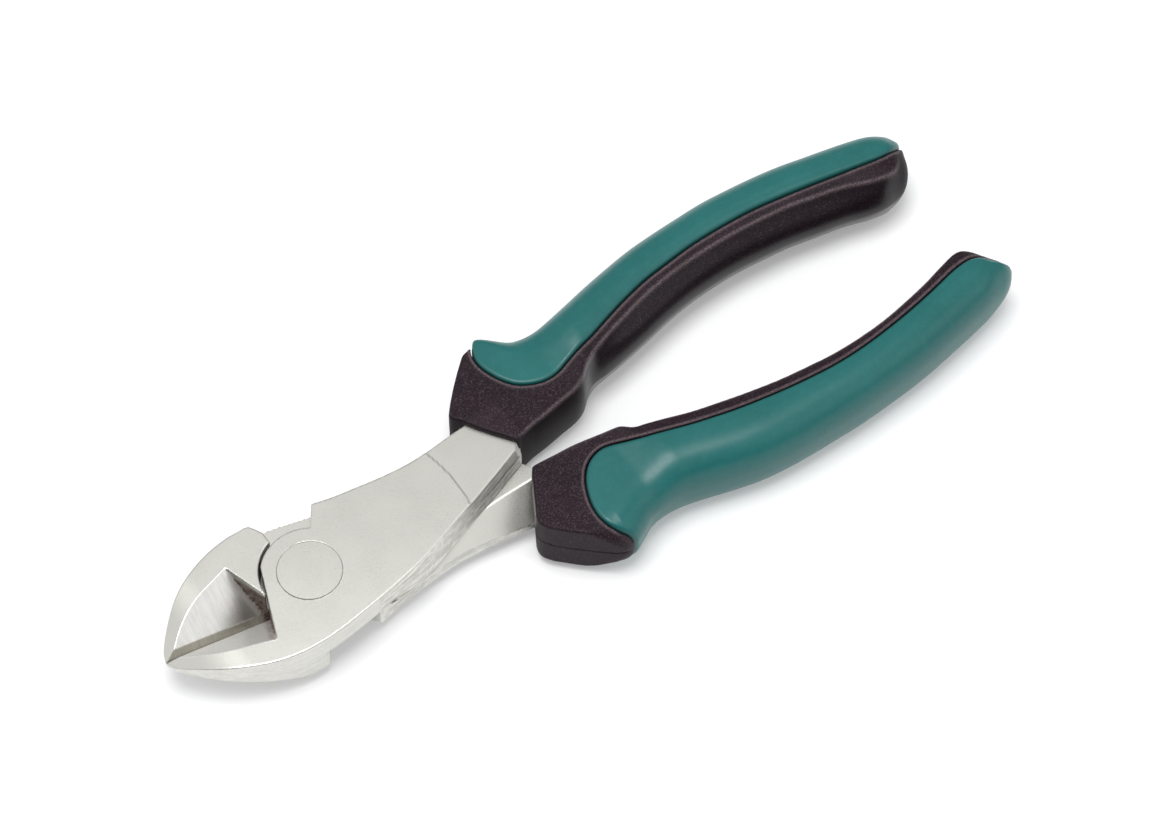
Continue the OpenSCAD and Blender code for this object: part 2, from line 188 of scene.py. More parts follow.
def surface_nets(F, xs, ys, zs):
    """Quads on the zero surface of F sampled on the grid xs, ys, zs."""
    S = F < 0
    cnt = np.zeros(tuple(n - 1 for n in F.shape), np.int8)
    for dx in (0, 1):
        for dy in (0, 1):
            for dz in (0, 1):
                cnt += S[dx:S.shape[0] - 1 + dx, dy:S.shape[1] - 1 + dy, dz:S.shape[2] - 1 + dz]
    act = (cnt > 0) & (cnt < 8)
    ids = np.full(act.shape, -1, np.int64)
    C = np.argwhere(act)
    ids[act] = np.arange(len(C))
    I, J, K = C.T
    acc = np.zeros((len(C), 3))
    num = np.zeros(len(C))
    for ax in range(3):
        o = [0, 0, 0]
        o[ax] = 1
        others = [k for k in range(3) if k != ax]
        for p in (0, 1):
            for q in (0, 1):
                s = [0, 0, 0]
                s[others[0]], s[others[1]] = p, q
                i0, j0, k0 = I + s[0], J + s[1], K + s[2]
                fa = F[i0, j0, k0].astype(float)
                fb = F[i0 + o[0], j0 + o[1], k0 + o[2]].astype(float)
                m = (fa < 0) != (fb < 0)
                t = np.where(m, fa / np.where(m, fa - fb, 1), 0)
                P = np.stack([xs[i0], ys[j0], zs[k0]], 1)
                Q = np.stack([xs[i0 + o[0]], ys[j0 + o[1]], zs[k0 + o[2]]], 1)
                acc += np.where(m[:, None], P + (Q - P) * t[:, None], 0)
                num += m
    V = acc / num[:, None]
    quads = []
    for ax in range(3):
        a = S[:-1] if ax == 0 else S[:, :-1] if ax == 1 else S[:, :, :-1]
        b = S[1:] if ax == 0 else S[:, 1:] if ax == 1 else S[:, :, 1:]
        E = np.argwhere(a != b)
        o1, o2 = [(1, 2), (2, 0), (0, 1)][ax]
        ok = (E[:, o1] > 0) & (E[:, o2] > 0) & (E[:, o1] < F.shape[o1] - 1) & (E[:, o2] < F.shape[o2] - 1)
        E = E[ok]
        c = []
        for p, q in ((1, 1), (0, 1), (0, 0), (1, 0)):
            D = E.copy()
            D[:, o1] -= p
            D[:, o2] -= q
            c.append(ids[D[:, 0], D[:, 1], D[:, 2]])
        qd = np.stack(c, 1)
        inside = S[E[:, 0], E[:, 1], E[:, 2]]
        quads.append(qd[inside])
        quads.append(qd[~inside][:, ::-1])
    return V, np.concatenate(quads)


def gradient(f, V, h=0.03):
    g = np.empty_like(V)
    for a in range(3):
        d = np.zeros(3)
        d[a] = h
        p, q = V + d, V - d
        g[:, a] = (f(p[:, 0], p[:, 1], p[:, 2]) - f(q[:, 0], q[:, 1], q[:, 2])) / (2 * h)
    return g


def solid(f, xs, ys, zs, cap=0.14):
    """Mesh of f < 0, with its points drawn onto the surface and its normals."""
    F = f(xs[:, None, None], ys[None, :, None], zs[None, None, :])
    V, Q = surface_nets(np.broadcast_to(F, (len(xs), len(ys), len(zs))), xs, ys, zs)
    V0 = V.copy()
    for _ in range(3):
        g = gradient(f, V)
        n2 = np.maximum((g**2).sum(1), 0.05)
        step = -f(V[:, 0], V[:, 1], V[:, 2])[:, None] * g / n2[:, None]
        V = V0 + np.clip(V + step - V0, -cap, cap)
    g = gradient(f, V, 0.05)
    N = g / np.maximum(np.linalg.norm(g, axis=1), 1e-9)[:, None]
    return V, Q, N


def piece(name, V, Q, N, body, node, mat, attrs=None, smooth_normals=True):
    """A mesh in the frame, in metres, from millimetres about the head's middle plane."""
    me = bpy.data.meshes.new(name)
    W = V.copy()
    W[:, 2] += ZT
    W *= 0.001
    me.from_pydata([], [], [])
    me.vertices.add(len(W))
    me.vertices.foreach_set("co", W.astype(np.float32).ravel())
    me.loops.add(Q.size)
    me.loops.foreach_set("vertex_index", Q.astype(np.int32).ravel())
    me.polygons.add(len(Q))
    me.polygons.foreach_set("loop_start", (np.arange(len(Q)) * Q.shape[1]).astype(np.int32))
    me.update(calc_edges=True)
    me.validate()
    me.polygons.foreach_set("use_smooth", np.ones(len(me.polygons), bool))
    for k, v in (attrs or {}).items():
        at = me.attributes.new(k, "FLOAT", "POINT")
        at.data.foreach_set("value", np.asarray(v, np.float32))
    if smooth_normals and N is not None:
        me.normals_split_custom_set_from_vertices([tuple(n) for n in N.tolist()])
    ob = bpy.data.objects.new(name, me)
    bpy.context.scene.collection.objects.link(ob)
    ob.data.materials.append(mat)
    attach(ob, body)
    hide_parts(node)
    return ob


# ----------------------------------------------------------------- materials
def new_mat(name):
    m = bpy.data.materials.new(name)
    m.use_nodes = True
    nt = m.node_tree
    nt.nodes.clear()
    out = nt.nodes.new("ShaderNodeOutputMaterial")
    bsdf = nt.nodes.new("ShaderNodeBsdfPrincipled")
    nt.links.new(bsdf.outputs[0], out.inputs[0])
    tc = nt.nodes.new("ShaderNodeTexCoord")
    return m, nt, bsdf, tc.outputs["Object"]


def node(nt, kind, **kw):
    n = nt.nodes.new(kind)
    for k, v in kw.items():
        setattr(n, k, v)
    return n


def noise(nt, vec, scale, detail=3, rough=0.55, stretch=None):
    if stretch:
        mp = node(nt, "ShaderNodeMapping")
        mp.inputs["Scale"].default_value = stretch
        nt.links.new(vec, mp.inputs["Vector"])
        vec = mp.outputs[0]
    n = node(nt, "ShaderNodeTexNoise")
    n.inputs["Scale"].default_value = scale
    n.inputs["Detail"].default_value = detail
    n.inputs["Roughness"].default_value = rough
    nt.links.new(vec, n.inputs["Vector"])
    return n.outputs["Fac"]


def ramp(nt, fac, a, b, lo, hi):
    r = node(nt, "ShaderNodeMapRange")
    r.inputs["From Min"].default_value = a
    r.inputs["From Max"].default_value = b
    r.inputs["To Min"].default_value = lo
    r.inputs["To Max"].default_value = hi
    nt.links.new(fac, r.inputs["Value"])
    return r.outputs[0]


def math_(nt, op, a, b=None, clamp=False):
    n = node(nt, "ShaderNodeMath", operation=op, use_clamp=clamp)
    for s, v in zip(n.inputs, (a, b)):
        if v is None:
            continue
        if isinstance(v, (int, float)):
            s.default_value = v
        else:
            nt.links.new(v, s)
    return n.outputs[0]


def mixc(nt, fac, a, b, mode="MIX"):
    n = node(nt, "ShaderNodeMix", data_type="RGBA", blend_type=mode)
    for s, v in zip((n.inputs[0], n.inputs[6], n.inputs[7]), (fac, a, b)):
        if isinstance(v, (int, float)):
            s.default_value = v
        elif isinstance(v, tuple):
            s.default_value = (*v, 1) if len(v) == 3 else v
        else:
            nt.links.new(v, s)
    return n.outputs[2]


def attr(nt, name):
    return node(nt, "ShaderNodeAttribute", attribute_name=name).outputs["Fac"]


def bumps(nt, bsdf, height, dist, strength=1.0):
    b = node(nt, "ShaderNodeBump")
    b.inputs["Strength"].default_value = strength
    b.inputs["Distance"].default_value = dist
    nt.links.new(height, b.inputs["Height"])
    nt.links.new(b.outputs[0], bsdf.inputs["Normal"])


def steel_material(name, tone=(0.695, 0.69, 0.645)):
    m, nt, bsdf, vec = new_mat(name)
    fine = noise(nt, vec, 6500, 3, 0.6)
    mid = noise(nt, vec, 900, 4, 0.6)
    big = noise(nt, vec, 110, 3, 0.55)
    grind = noise(nt, vec, 1.0, 2, 0.6, stretch=(5200, 420, 260))
    streak = noise(nt, vec, 1.0, 2, 0.5, stretch=(900, 60, 40))
    blade, side, throat, edge = (attr(nt, k) for k in ("blade", "side", "throat", "edge"))
    c = mixc(nt, ramp(nt, big, 0.35, 0.7, 0, 1), tuple(v * 0.985 for v in tone), tuple(min(1, v * 1.015) for v in tone))
    c = mixc(nt, ramp(nt, fine, 0.32, 0.68, 0, 0.42), c, tuple(v * 0.66 for v in tone))
    # rougher, greyer forged walls
    lines = noise(nt, vec, 1.0, 3, 0.6, stretch=(70, 700, 1900))
    wall = mixc(nt, ramp(nt, mid, 0.35, 0.65, 0, 1), (0.62, 0.61, 0.57), (0.86, 0.85, 0.81))
    wall = mixc(nt, ramp(nt, lines, 0.42, 0.62, 0, 0.75), wall, (0.42, 0.41, 0.37))
    c = mixc(nt, math_(nt, "MULTIPLY", side, 0.85), c, wall)
    # ground blades
    gr = mixc(nt, ramp(nt, grind, 0.35, 0.68, 0, 1), (0.60, 0.595, 0.57), (0.71, 0.705, 0.68))
    gr = mixc(nt, ramp(nt, streak, 0.4, 0.7, 0, 0.2), gr, (0.86, 0.85, 0.83))
    c = mixc(nt, blade, c, gr)
    strip, soft = attr(nt, "strip"), attr(nt, "soft")
    c = mixc(nt, math_(nt, "MULTIPLY", soft, 0.5), c, (0.74, 0.73, 0.70))
    c = mixc(nt, math_(nt, "MULTIPLY", strip, 0.8), c, mixc(nt, ramp(nt, grind, 0.3, 0.7, 0, 1), (0.62, 0.60, 0.55), (0.82, 0.80, 0.75)))
    # painted highlight: lighter colour along the convex edges
    c = mixc(nt, math_(nt, "MULTIPLY", edge, 0.45, True), c, (0.80, 0.795, 0.765))
    # oil and grime in the throat, plus painted shade: darker deeper in the recess, in its end corner, along the seam
    # between the halves, in the hub gap and round the rivet
    dirt_and_shade = mixc(nt, ramp(nt, noise(nt, vec, 2200, 4, 0.7), 0.4, 0.62, 0, 1), (0.016, 0.008, 0.006), (0.20, 0.135, 0.115))
    tf = math_(nt, "MULTIPLY", throat, ramp(nt, mid, 0.3, 0.55, 0.75, 1.0), True)
    c = mixc(nt, tf, c, dirt_and_shade)
    nt.links.new(c, bsdf.inputs["Base Color"])
    r = math_(nt, "ADD", ramp(nt, fine, 0.3, 0.7, 0.25, 0.37), ramp(nt, big, 0.3, 0.7, -0.006, 0.008))
    r = math_(nt, "ADD", r, math_(nt, "MULTIPLY", side, 0.12))
    r = math_(nt, "ADD", r, math_(nt, "MULTIPLY", throat, 0.35))
    r = math_(nt, "SUBTRACT", r, math_(nt, "MULTIPLY", edge, 0.03), True)
    nt.links.new(r, bsdf.inputs["Roughness"])
    metal = math_(nt, "SUBTRACT", ramp(nt, tf, 0, 1, 1.0, 0.25), math_(nt, "MULTIPLY", side, 0.45), True)
    nt.links.new(math_(nt, "SUBTRACT", metal, math_(nt, "MULTIPLY", soft, 0.42), True), bsdf.inputs["Metallic"])
    h = math_(nt, "MULTIPLY", fine, 0.5)
    h = math_(nt, "ADD", h, math_(nt, "MULTIPLY", math_(nt, "MULTIPLY", grind, blade), 0.9))
    h = math_(nt, "ADD", h, math_(nt, "MULTIPLY", math_(nt, "MULTIPLY", math_(nt, "ADD", mid, lines), side), 5.0))
    h = math_(nt, "ADD", h, math_(nt, "MULTIPLY", math_(nt, "MULTIPLY", mid, throat), 7.0))
    bumps(nt, bsdf, h, 0.000012, 0.6)
    return m


def rivet_material():
    m, nt, bsdf, vec = new_mat("rivet_ground_steel")
    fine = noise(nt, vec, 6500, 3, 0.6)
    big = noise(nt, vec, 160, 3, 0.55)
    tone = (0.695, 0.69, 0.645)
    c = mixc(nt, ramp(nt, big, 0.35, 0.7, 0, 1), tuple(v * 0.96 for v in tone), tuple(v * 1.03 for v in tone))
    c = mixc(nt, ramp(nt, fine, 0.32, 0.68, 0, 0.42), c, tuple(v * 0.66 for v in tone))
    # turning rings, about the rivet's own axis
    wv = node(nt, "ShaderNodeTexWave", wave_type="RINGS", rings_direction="Z", wave_profile="SIN")
    wv.inputs["Scale"].default_value = 900
    wv.inputs["Distortion"].default_value = 0.6
    nt.links.new(vec, wv.inputs["Vector"])
    nt.links.new(c, bsdf.inputs["Base Color"])
    nt.links.new(ramp(nt, fine, 0.3, 0.7, 0.25, 0.37), bsdf.inputs["Roughness"])
    bsdf.inputs["Metallic"].default_value = 1.0
    h = math_(nt, "ADD", math_(nt, "MULTIPLY", fine, 0.5), math_(nt, "MULTIPLY", wv.outputs["Fac"], 0.25))
    bumps(nt, bsdf, h, 0.000012, 0.6)
    return m


def black_material():
    m, nt, bsdf, vec = new_mat("hard_black_plastic")
    sp = noise(nt, vec, 3400, 3, 0.62)
    sp2 = noise(nt, vec, 7800, 2, 0.6)
    big = noise(nt, vec, 150, 3, 0.5)
    gloss, edge, line = attr(nt, "gloss"), attr(nt, "edge"), attr(nt, "line")
    base = mixc(nt, ramp(nt, big, 0.35, 0.68, 0, 1), (0.0105, 0.0050, 0.0082), (0.0165, 0.0082, 0.0130))
    speck = math_(nt, "MULTIPLY", ramp(nt, sp, 0.52, 0.72, 0, 1), ramp(nt, sp2, 0.42, 0.66, 0.25, 1))
    keep = ramp(nt, gloss, 0, 1, 1.0, 0.25)
    base = mixc(nt, math_(nt, "MULTIPLY", gloss, 0.75), base, (0.004, 0.0015, 0.003))
    c = mixc(nt, math_(nt, "MULTIPLY", speck, keep), base, (0.120, 0.085, 0.102))
    c = mixc(nt, math_(nt, "MULTIPLY", ramp(nt, sp, 0.28, 0.44, 0.85, 0), keep), c, (0.003, 0.0015, 0.0025))
    # painted highlight: lighter along the convex edges
    c = mixc(nt, math_(nt, "MULTIPLY", edge, 0.16, True), c, (0.12, 0.09, 0.10))
    # painted highlight: a lighter line along the ridge and along the rim beside the green
    c = mixc(nt, math_(nt, "MULTIPLY", math_(nt, "MULTIPLY", line, ramp(nt, sp, 0.35, 0.6, 0.35, 1)), 0.55, True), c, (0.22, 0.17, 0.185))
    nt.links.new(c, bsdf.inputs["Base Color"])
    r = math_(nt, "SUBTRACT", ramp(nt, sp, 0.3, 0.7, 0.44, 0.60), math_(nt, "MULTIPLY", attr(nt, "coat"), 0.18))
    nt.links.new(math_(nt, "MULTIPLY", attr(nt, "coat"), 0.58), bsdf.inputs["Coat Weight"])
    bsdf.inputs["Coat Roughness"].default_value = 0.24
    nt.links.new(r, bsdf.inputs["Roughness"])
    bsdf.inputs["Specular IOR Level"].default_value = 0.14
    h = math_(nt, "MULTIPLY", math_(nt, "ADD", sp, math_(nt, "MULTIPLY", sp2, 0.4)), ramp(nt, gloss, 0, 1, 1.0, 0.5))
    bumps(nt, bsdf, h, 0.00006, 0.55)
    return m


def green_material():
    m, nt, bsdf, vec = new_mat("soft_green_tpe")
    sp = noise(nt, vec, 5200, 3, 0.6)
    mid = noise(nt, vec, 700, 4, 0.6)
    big = noise(nt, vec, 60, 3, 0.5)
    edge, rim = attr(nt, "edge"), attr(nt, "rim")
    c = mixc(nt, ramp(nt, big, 0.35, 0.66, 0, 1), (0.004, 0.108, 0.104), (0.006, 0.126, 0.121))
    c = mixc(nt, ramp(nt, sp, 0.35, 0.65, 0, 0.35), c, (0.001, 0.072, 0.069))
    c = mixc(nt, ramp(nt, mid, 0.45, 0.75, 0, 0.18), c, (0.024, 0.180, 0.172))
    c = mixc(nt, math_(nt, "MULTIPLY", rim, 0.75, True), c, (0.001, 0.026, 0.025))
    # painted highlight: lighter along the convex edges
    c = mixc(nt, math_(nt, "MULTIPLY", edge, 0.12, True), c, (0.06, 0.24, 0.22))
    nt.links.new(c, bsdf.inputs["Base Color"])
    r = math_(nt, "ADD", ramp(nt, sp, 0.3, 0.7, 0.29, 0.41), ramp(nt, big, 0.3, 0.7, -0.03, 0.03))
    nt.links.new(r, bsdf.inputs["Roughness"])
    bsdf.inputs["Specular IOR Level"].default_value = 0.42
    bsdf.inputs["Sheen Weight"].default_value = 0.03
    bsdf.inputs["Sheen Roughness"].default_value = 0.45
    bsdf.inputs["Sheen Tint"].default_value = (0.85, 0.95, 0.95, 1)
    h = math_(nt, "ADD", math_(nt, "MULTIPLY", sp, 0.7), math_(nt, "MULTIPLY", mid, 0.6))
    bumps(nt, bsdf, h, 0.00004, 0.5)
    return m


# --------------------------------------------------------------------- steel
def arc(r, a0, a1, n):
    return [(r * math.cos(math.radians(a0 + (a1 - a0) * i / n)), r * math.sin(math.radians(a0 + (a1 - a0) * i / n))) for i in range(n + 1)]


def jaw_run(x0, x1, n):
    xs = np.linspace(x0, x1, n)
    return list(zip(np.where(xs < 0, xs * 31.7 / 31, xs), -tab(xs, JAW_EDGE)))


tx = np.arange(50, 122.1, 4)
lo = list(zip(tx, tab(tx, TANG_MID) - tab(tx, TANG_HALF)))
hi = list(zip(tx, tab(tx, TANG_MID) + tab(tx, TANG_HALF)))[::-1]
nx = np.linspace(46.5, 8.2, 40)
PLATE = ([(-31.7, -0.05)] + jaw_run(-30.9, 46.6, 110) + [(48.2, 2.8)] + lo + hi + list(zip(nx, tab(nx, NECK_EDGE)))
         + [(7.8, 12.1)] + arc(9.3, 58, 178, 60) + [(-9.6, -0.05)])
JAW = ([(-31.7, -0.05)] + jaw_run(-30.9, -5.4, 50) + [(-4.6, -13.9), (-3.9, -12.9), (-3.4, -12.0), (-3.1, -11.5)]
       + arc(9.55, 252, 181, 40) + [(-9.65, -0.05)])
FP = Field(PLATE, -33, 124, -16, 26, 0.2)
FJ = Field(JAW, -33, 0, -16, 2, 0.15)

SLOPE = math.radians(15.6)
LAND, BEV = math.radians(65.6), math.radians(41.0)
CHEEK = np.array([-0.4037, -0.3340, -0.8517])


def nose_top(x, z):
    x = np.where(x < -19, -19 + (x + 19) * 12.0 / 12.7, x)
    return np.where(x < -19, np.hypot(x + 19, z - (ZT - 19)) - 19, z - ZT)


def nose_bottom(x, z):
    return np.maximum(-ZT - z, (x + 9) * -0.2002 + (z + ZT) * -0.9798)


def recess(x, v, z):
    """(blade faces, the two bevels apart, end wall) of one jaw; v is the distance from the parting plane."""
    X, Z = x + 31.4, z - 1.15
    w = Z * math.cos(SLOPE) + X * math.sin(SLOPE)
    hh = 0.9 * math.tan(LAND)
    p1 = w * math.cos(LAND) - v * math.sin(LAND)
    p2 = (w - hh) * math.cos(BEV) - (v - 0.9) * math.sin(BEV)
    e = (x + 9.7) * 0.9407 + v * 0.3393
    return p1, p2, e


def half(s):
    def f(x, y, z):
        Y, Z = y * s, z * s
        r = np.hypot(x, y)
        if s < 0:
            # this jaw stands a little wider
            Y = np.where(Y < 0, Y / (1 + 0.038 * (1 - sm(x, -2, 8))), Y)
        yi, yo = -tab(x, JAW_EDGE), tab(x, NECK_EDGE)
        neck = sm(x, 11, 18) * (1 - sm(x, 47.5, 52))
        inner = 1 - sm(Y - (yi + yo) / 2, -1.5, 1.5)
        t = np.clip((ZT - Z) / ZT, 0, 1)
        off = neck * (inner * (1.10 * t + 0.20 * bump(Z, 2.35, 0.32)) + (1 - inner) * 0.45)
        dp = FP(x, Y) - off
        step = 0.09 * sm(r, 33.0, 33.3) + 1.25 * sm(x, 48.7, 49.1)
        top = nose_top(x, z)
        bot = nose_bottom(x, z)
        face = np.maximum(top, bot)
        plate = rmax(dp, np.maximum(face, Z - (ZT - step)), 0.22)
        plate = np.maximum(plate, G - Z)
        deep = sm(x, 8.5, 13) * (1 - sm(x, 50.5, 53.5))
        y0 = 6.4 - 2.4 * sm(x, 13, 46)
        plate = smax(plate, (G + deep * np.maximum(Y - y0, -3) * 0.50 - Z) * 0.89 - 0.15 * (1 - deep), 0.14)
        jaw = rmax(FJ(x, Y), face, 0.22)
        d = np.minimum(plate, jaw)
        P0 = np.array([-10, -13.9, -ZT])
        ck = CHEEK[0] * (x - P0[0]) + CHEEK[1] * (Y - P0[1]) + CHEEK[2] * (z - P0[2])
        d = smax(d, ck - 6 * sm(x, -6, -2), 0.9)
        v = -Y
        p1, p2, e = recess(x, v, z)
        e = e - (0.30 if s > 0 else 0.0)
        keep = smin(smax(p1, p2, 0.06), -e, 0.28)
        d = rmax(d, keep, 0.08)
        w3 = (z + 0.35) * math.cos(SLOPE) + (x + 33.4) * math.sin(SLOPE)
        p3 = (-w3 * 0.175 - v) / 1.015 - 60 * sm(x, -9.9, -9.3)
        d = np.maximum(d, p3)
        hole = (4.05 + np.clip(Z - 2.5, 0, 2.11) - r) * 0.85
        d = smax(d, hole, 0.04)
        return d

    return f


def steel_attrs(f, V, N, s):
    x, y, z = V.T
    p1, p2, e = recess(x, -y * s / (1 if s > 0 else 1.038), z)
    e = e - (0.30 if s > 0 else 0.0)
    inrec = (e < 0.15) & (np.maximum(p1, p2) > -0.12) & (x < -9) & (-y * s > -0.3)
    blade = inrec & (np.abs(p2) < 0.12) & (N[:, 2] > 0.2)
    strip = inrec & (np.abs(p1) < 0.10) & (p1 > p2 - 0.02) & (N[:, 2] > 0.1)
    wall = (np.abs(e) < 0.30) & (np.abs(y) < 9.6) & (x < -9) & (x > -14.5) & (N[:, 2] < 0.75) & (-y * s > -0.4)
    # throat: where painted shade goes (deeper in the recess, its end corner, the seam between the halves, the hub gap,
    # the ring round the rivet); the material mixes it with oily grime
    deep = np.clip((ZT - 0.5 - z) / 2.0, 0, 1)
    near = np.exp(-np.clip(np.abs(x + 10.2 + 0.36 * np.abs(y)) - 0.3, 0, None) / 0.5) * (x < -9) * (z < 4.4) * (z > -4.8)
    throat = np.clip(wall * deep * (x < -9.4) + 0.8 * near * inrec * (1 - np.clip(np.abs(y) / 9, 0, 1)), 0, 1)
    corner = np.exp(-np.clip(np.abs(x + 10.2 + 0.36 * np.abs(y)) - 0.3, 0, None) / 1.1) * (y < 0) * (x < -9) * inrec
    seam = np.exp(-((y / 0.17) ** 2)) * inrec * (x < -10)
    throat = np.clip(np.maximum(throat, np.maximum(0.75 * corner, 0.7 * seam)), 0, 1)
    gap = (np.abs(np.hypot(x, y) - 9.45) < 0.3) & (N[:, 2] < 0.7) & (x < 3)
    throat = np.maximum(throat, gap * 0.9)
    throat = np.maximum(throat, 0.6 * np.exp(-(((np.hypot(x, y) - 6.17) / 0.15) ** 2)) * (np.abs(z) > 4.7))
    side = (np.abs(N[:, 2]) < 0.55) & ~inrec & ~wall
    side = side * np.where(x < 8, 0.35, 1.0)
    # edge: where a highlight is painted along the convex edges, weaker in the recess and left out round the rivet
    h = 0.22
    q = V - N * h
    edge = np.clip(1 + f(q[:, 0], q[:, 1], q[:, 2]) / h, 0, 1)
    edge = np.clip((edge - 0.08) / 0.5, 0, 1) * (1 - throat)
    edge = np.where(inrec & (y * s > -1.2), edge * 0.3, edge)
    edge = edge * np.clip(np.abs(np.hypot(x, y) - 6.2) / 0.8 - 0.4, 0, 1)
    return {"blade": blade.astype(float), "strip": strip.astype(float), "throat": throat, "side": side, "edge": edge,
            "soft": blade * (s > 0)}


STEEL = steel_material("forged_steel_satin")
hs = 0.225
for name, s, body, nd in (("upper_half_forging", 1, "upper_lever", "upper_half"), ("lower_half_forging", -1, "lower_lever", "lower_half")):
    f = half(s)
    xs = np.concatenate([np.arange(-32.3, 10, hs), np.arange(10, 49.4, hs * 1.2), np.arange(49.5, 123.6, 0.9)])
    ys = np.arange(-14.7, 24.9, hs * 1.02)
    if s < 0:
        ys = -ys[::-1]
    zs = np.concatenate([np.arange(-5.55, 5.6, hs)])
    V, Q, N = solid(f, xs, ys, zs, 0.7 * hs)
    piece(name, V, Q, N, body, nd, STEEL, steel_attrs(f, V, N, s))

# rivet: turned, both heads ground flush
RIVET = rivet_material()
prof = [(0.0, 5.2), (1.5, 5.2), (3.0, 5.2), (4.5, 5.198), (5.5, 5.195), (6.14, 5.193), (6.155, 5.18), (6.16, 5.16), (6.16, 4.65), (6.08, 4.52),
        (4.06, 2.50), (4.0, 2.38), (4.0, 1.2), (4.0, 0.0)]
prof = prof + [(r, -z) for r, z in prof[-2::-1]]
n = 160
V = [(0, 0, 5.2)] + [(r * math.cos(2 * math.pi * k / n), r * math.sin(2 * math.pi * k / n), z) for r, z in prof[1:-1] for k in range(n)] + [(0, 0, -5.2)]
Qs = []
me = bpy.data.meshes.new("flush_rivet")
faces = [(0, 1 + k, 1 + (k + 1) % n) for k in range(n)]
m_ = len(prof) - 2
for i in range(m_ - 1):
    for k in range(n):
        a, b = 1 + i * n + k, 1 + i * n + (k + 1) % n
        faces.append((a, a + n, b + n, b))
last = len(V) - 1
faces += [(last, last - n + (k + 1) % n, last - n + k) for k in range(n)]
me.from_pydata([(x * 0.001, y * 0.001, (z + ZT) * 0.001) for x, y, z in V], [], faces)
me.validate()
me.polygons.foreach_set("use_smooth", np.ones(len(me.polygons), bool))
me.set_sharp_from_angle(angle=math.radians(35))
rv = bpy.data.objects.new("flush_rivet", me)
bpy.context.scene.collection.objects.link(rv)
me.materials.append(RIVET)
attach(rv, "lower_lever")
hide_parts("joint_rivet")


# --------------------------------------------------------------------- grips
def outline(front, inn, out):
    xi = np.arange(inn[0][0], inn[-1][0] - 0.01, 0.5)
    xo = np.arange(out[0][0], out[-1][0] - 0.01, 0.5)
    a = list(zip(xo, tab(xo, out))) + [out[-1]]
    b = (list(zip(xi, tab(xi, inn))) + [inn[-1]])[::-1]
    return corners(front) + a + b


class Grip:
    def __init__(self, front, inn, out, cover, h):
        self.inn, self.out = inn, out
        self.F = Field(outline(front, inn, out), 36, 155, -4, 34, h)
        self.C = Field(spline(cover, 4), 36, 155, -4, 34, h)
        up = out is UPPER_OUT
        self.ra, self.rb = (51.0, 60.0) if up else (46.5, 54.5)
        self.flare = 54 if up else 55.5
        self.up = up

    def rid(self, x):
        """Plan distance from the outline to the ridge along the inner side."""
        return tab(x, RIDGE) * (1.0 if self.up else 0.68 - 0.26 * sm(x, 64, 72))

    def skin(self, x, Y, Z):
        """Distance to the whole handle's skin, black and green alike."""
        d = -self.F(x, Y)
        az = np.abs(Z)
        gi, go = tab(x, self.inn), tab(x, self.out)
        sy = (Y - gi) / np.maximum(go - gi, 1.0)
        so = sm(sy, 0.36, 0.62)
        h = 6.45 + 1.55 * sm(x, 61.5, 70.5)
        w1 = np.maximum((go - gi) / 2 * 0.97, 2.5)
        # collar: upright walls under a crisp edge, rounder towards the finger guard
        rid = self.rid(x)
        lean = rid * np.clip(az / 6.45, 0, 1.1) ** 2.2 * (1 - so)
        r_o = 0.55 + 5.0 * sm(x, self.ra, self.rb) * so
        box_i = rmax(-d + lean, az - h, 0.45)
        box_o = rmax(-d, az - h, r_o)
        # handle: round outside
        u = np.maximum(1 - d / np.minimum(w1, 7.0), 0)
        p = 2.45
        rnd = ((u**p + (az / h) ** p) ** (1 / p) - 1) * 6.3
        ue = np.maximum(1 - d / 8.0, 0)
        dome = ((ue**2.1 + (az / h) ** 2.1) ** (1 / 2.1) - 1) * 6.8
        # handle: inner side with a ridge over a slightly hollow flank
        zr = 6.95
        k = (zr - 3.0) / np.maximum(rid, 0.8)
        cs = 1 / np.sqrt(1 + k * k)
        fl = (az - 3.0 - k * d) * cs + 0.28 * np.clip(1 - ((d - rid * 0.52) / (rid * 0.5)) ** 2, 0, 1)
        tp = (az - zr - (h - zr) / 3.4 * (d - rid)) * 0.955
        inn = rmax(-d, fl, 2.2)
        inn = smax(smax(inn, tp, 0.22), az - h, 0.8)
        endw = sm(x, 142.5, 148)
        inn = inn * (1 - endw) + dome * endw
        wi = sm(x, 64.8, 68.2)
        fi = box_i * (1 - wi) + inn * wi
        wo = sm(x, self.flare + 1, self.flare + 13)
        fo = box_o * (1 - wo) + rnd * wo
        fo = fo * (1 - endw) + dome * endw
        # inner half of the top joins the outer half at the same height
        return fi * (1 - so) + fo * so

    def core(self, x, Y, Z):
        f = self.skin(x, Y, Z)
        dc = self.C(x, Y)
        rimf = f - 0.10 * bump(dc, 0.55, 0.28)
        go = tab(x, self.out)
        seam = 0.16 * bump(Z, 0, 0.20) * sm(dc, 0.5, 1.2) * sm(Y - 0.5 * go, 0, 3) * (1 - sm(x, 56, 58))
        rimf = rimf + seam
        a = smax(rimf, 0.10 - dc, 0.22)
        c = np.minimum(a, f + 1.85)
        tang = np.maximum(rmax(FP(x, Y) - 0.0, np.abs(Z - 2.6) - 2.6 + 1.3 * sm(x, 48.7, 49.1), 0.1), 0.06 - Z)
        return np.maximum(c, -(tang - 0.05))

    def cover(self, x, Y, Z):
        f = self.skin(x, Y, Z)
        dc = self.C(x, Y)
        c = rmax(f - 0.32, dc + 0.10, 0.75)
        return np.maximum(c, -(f + 1.8))


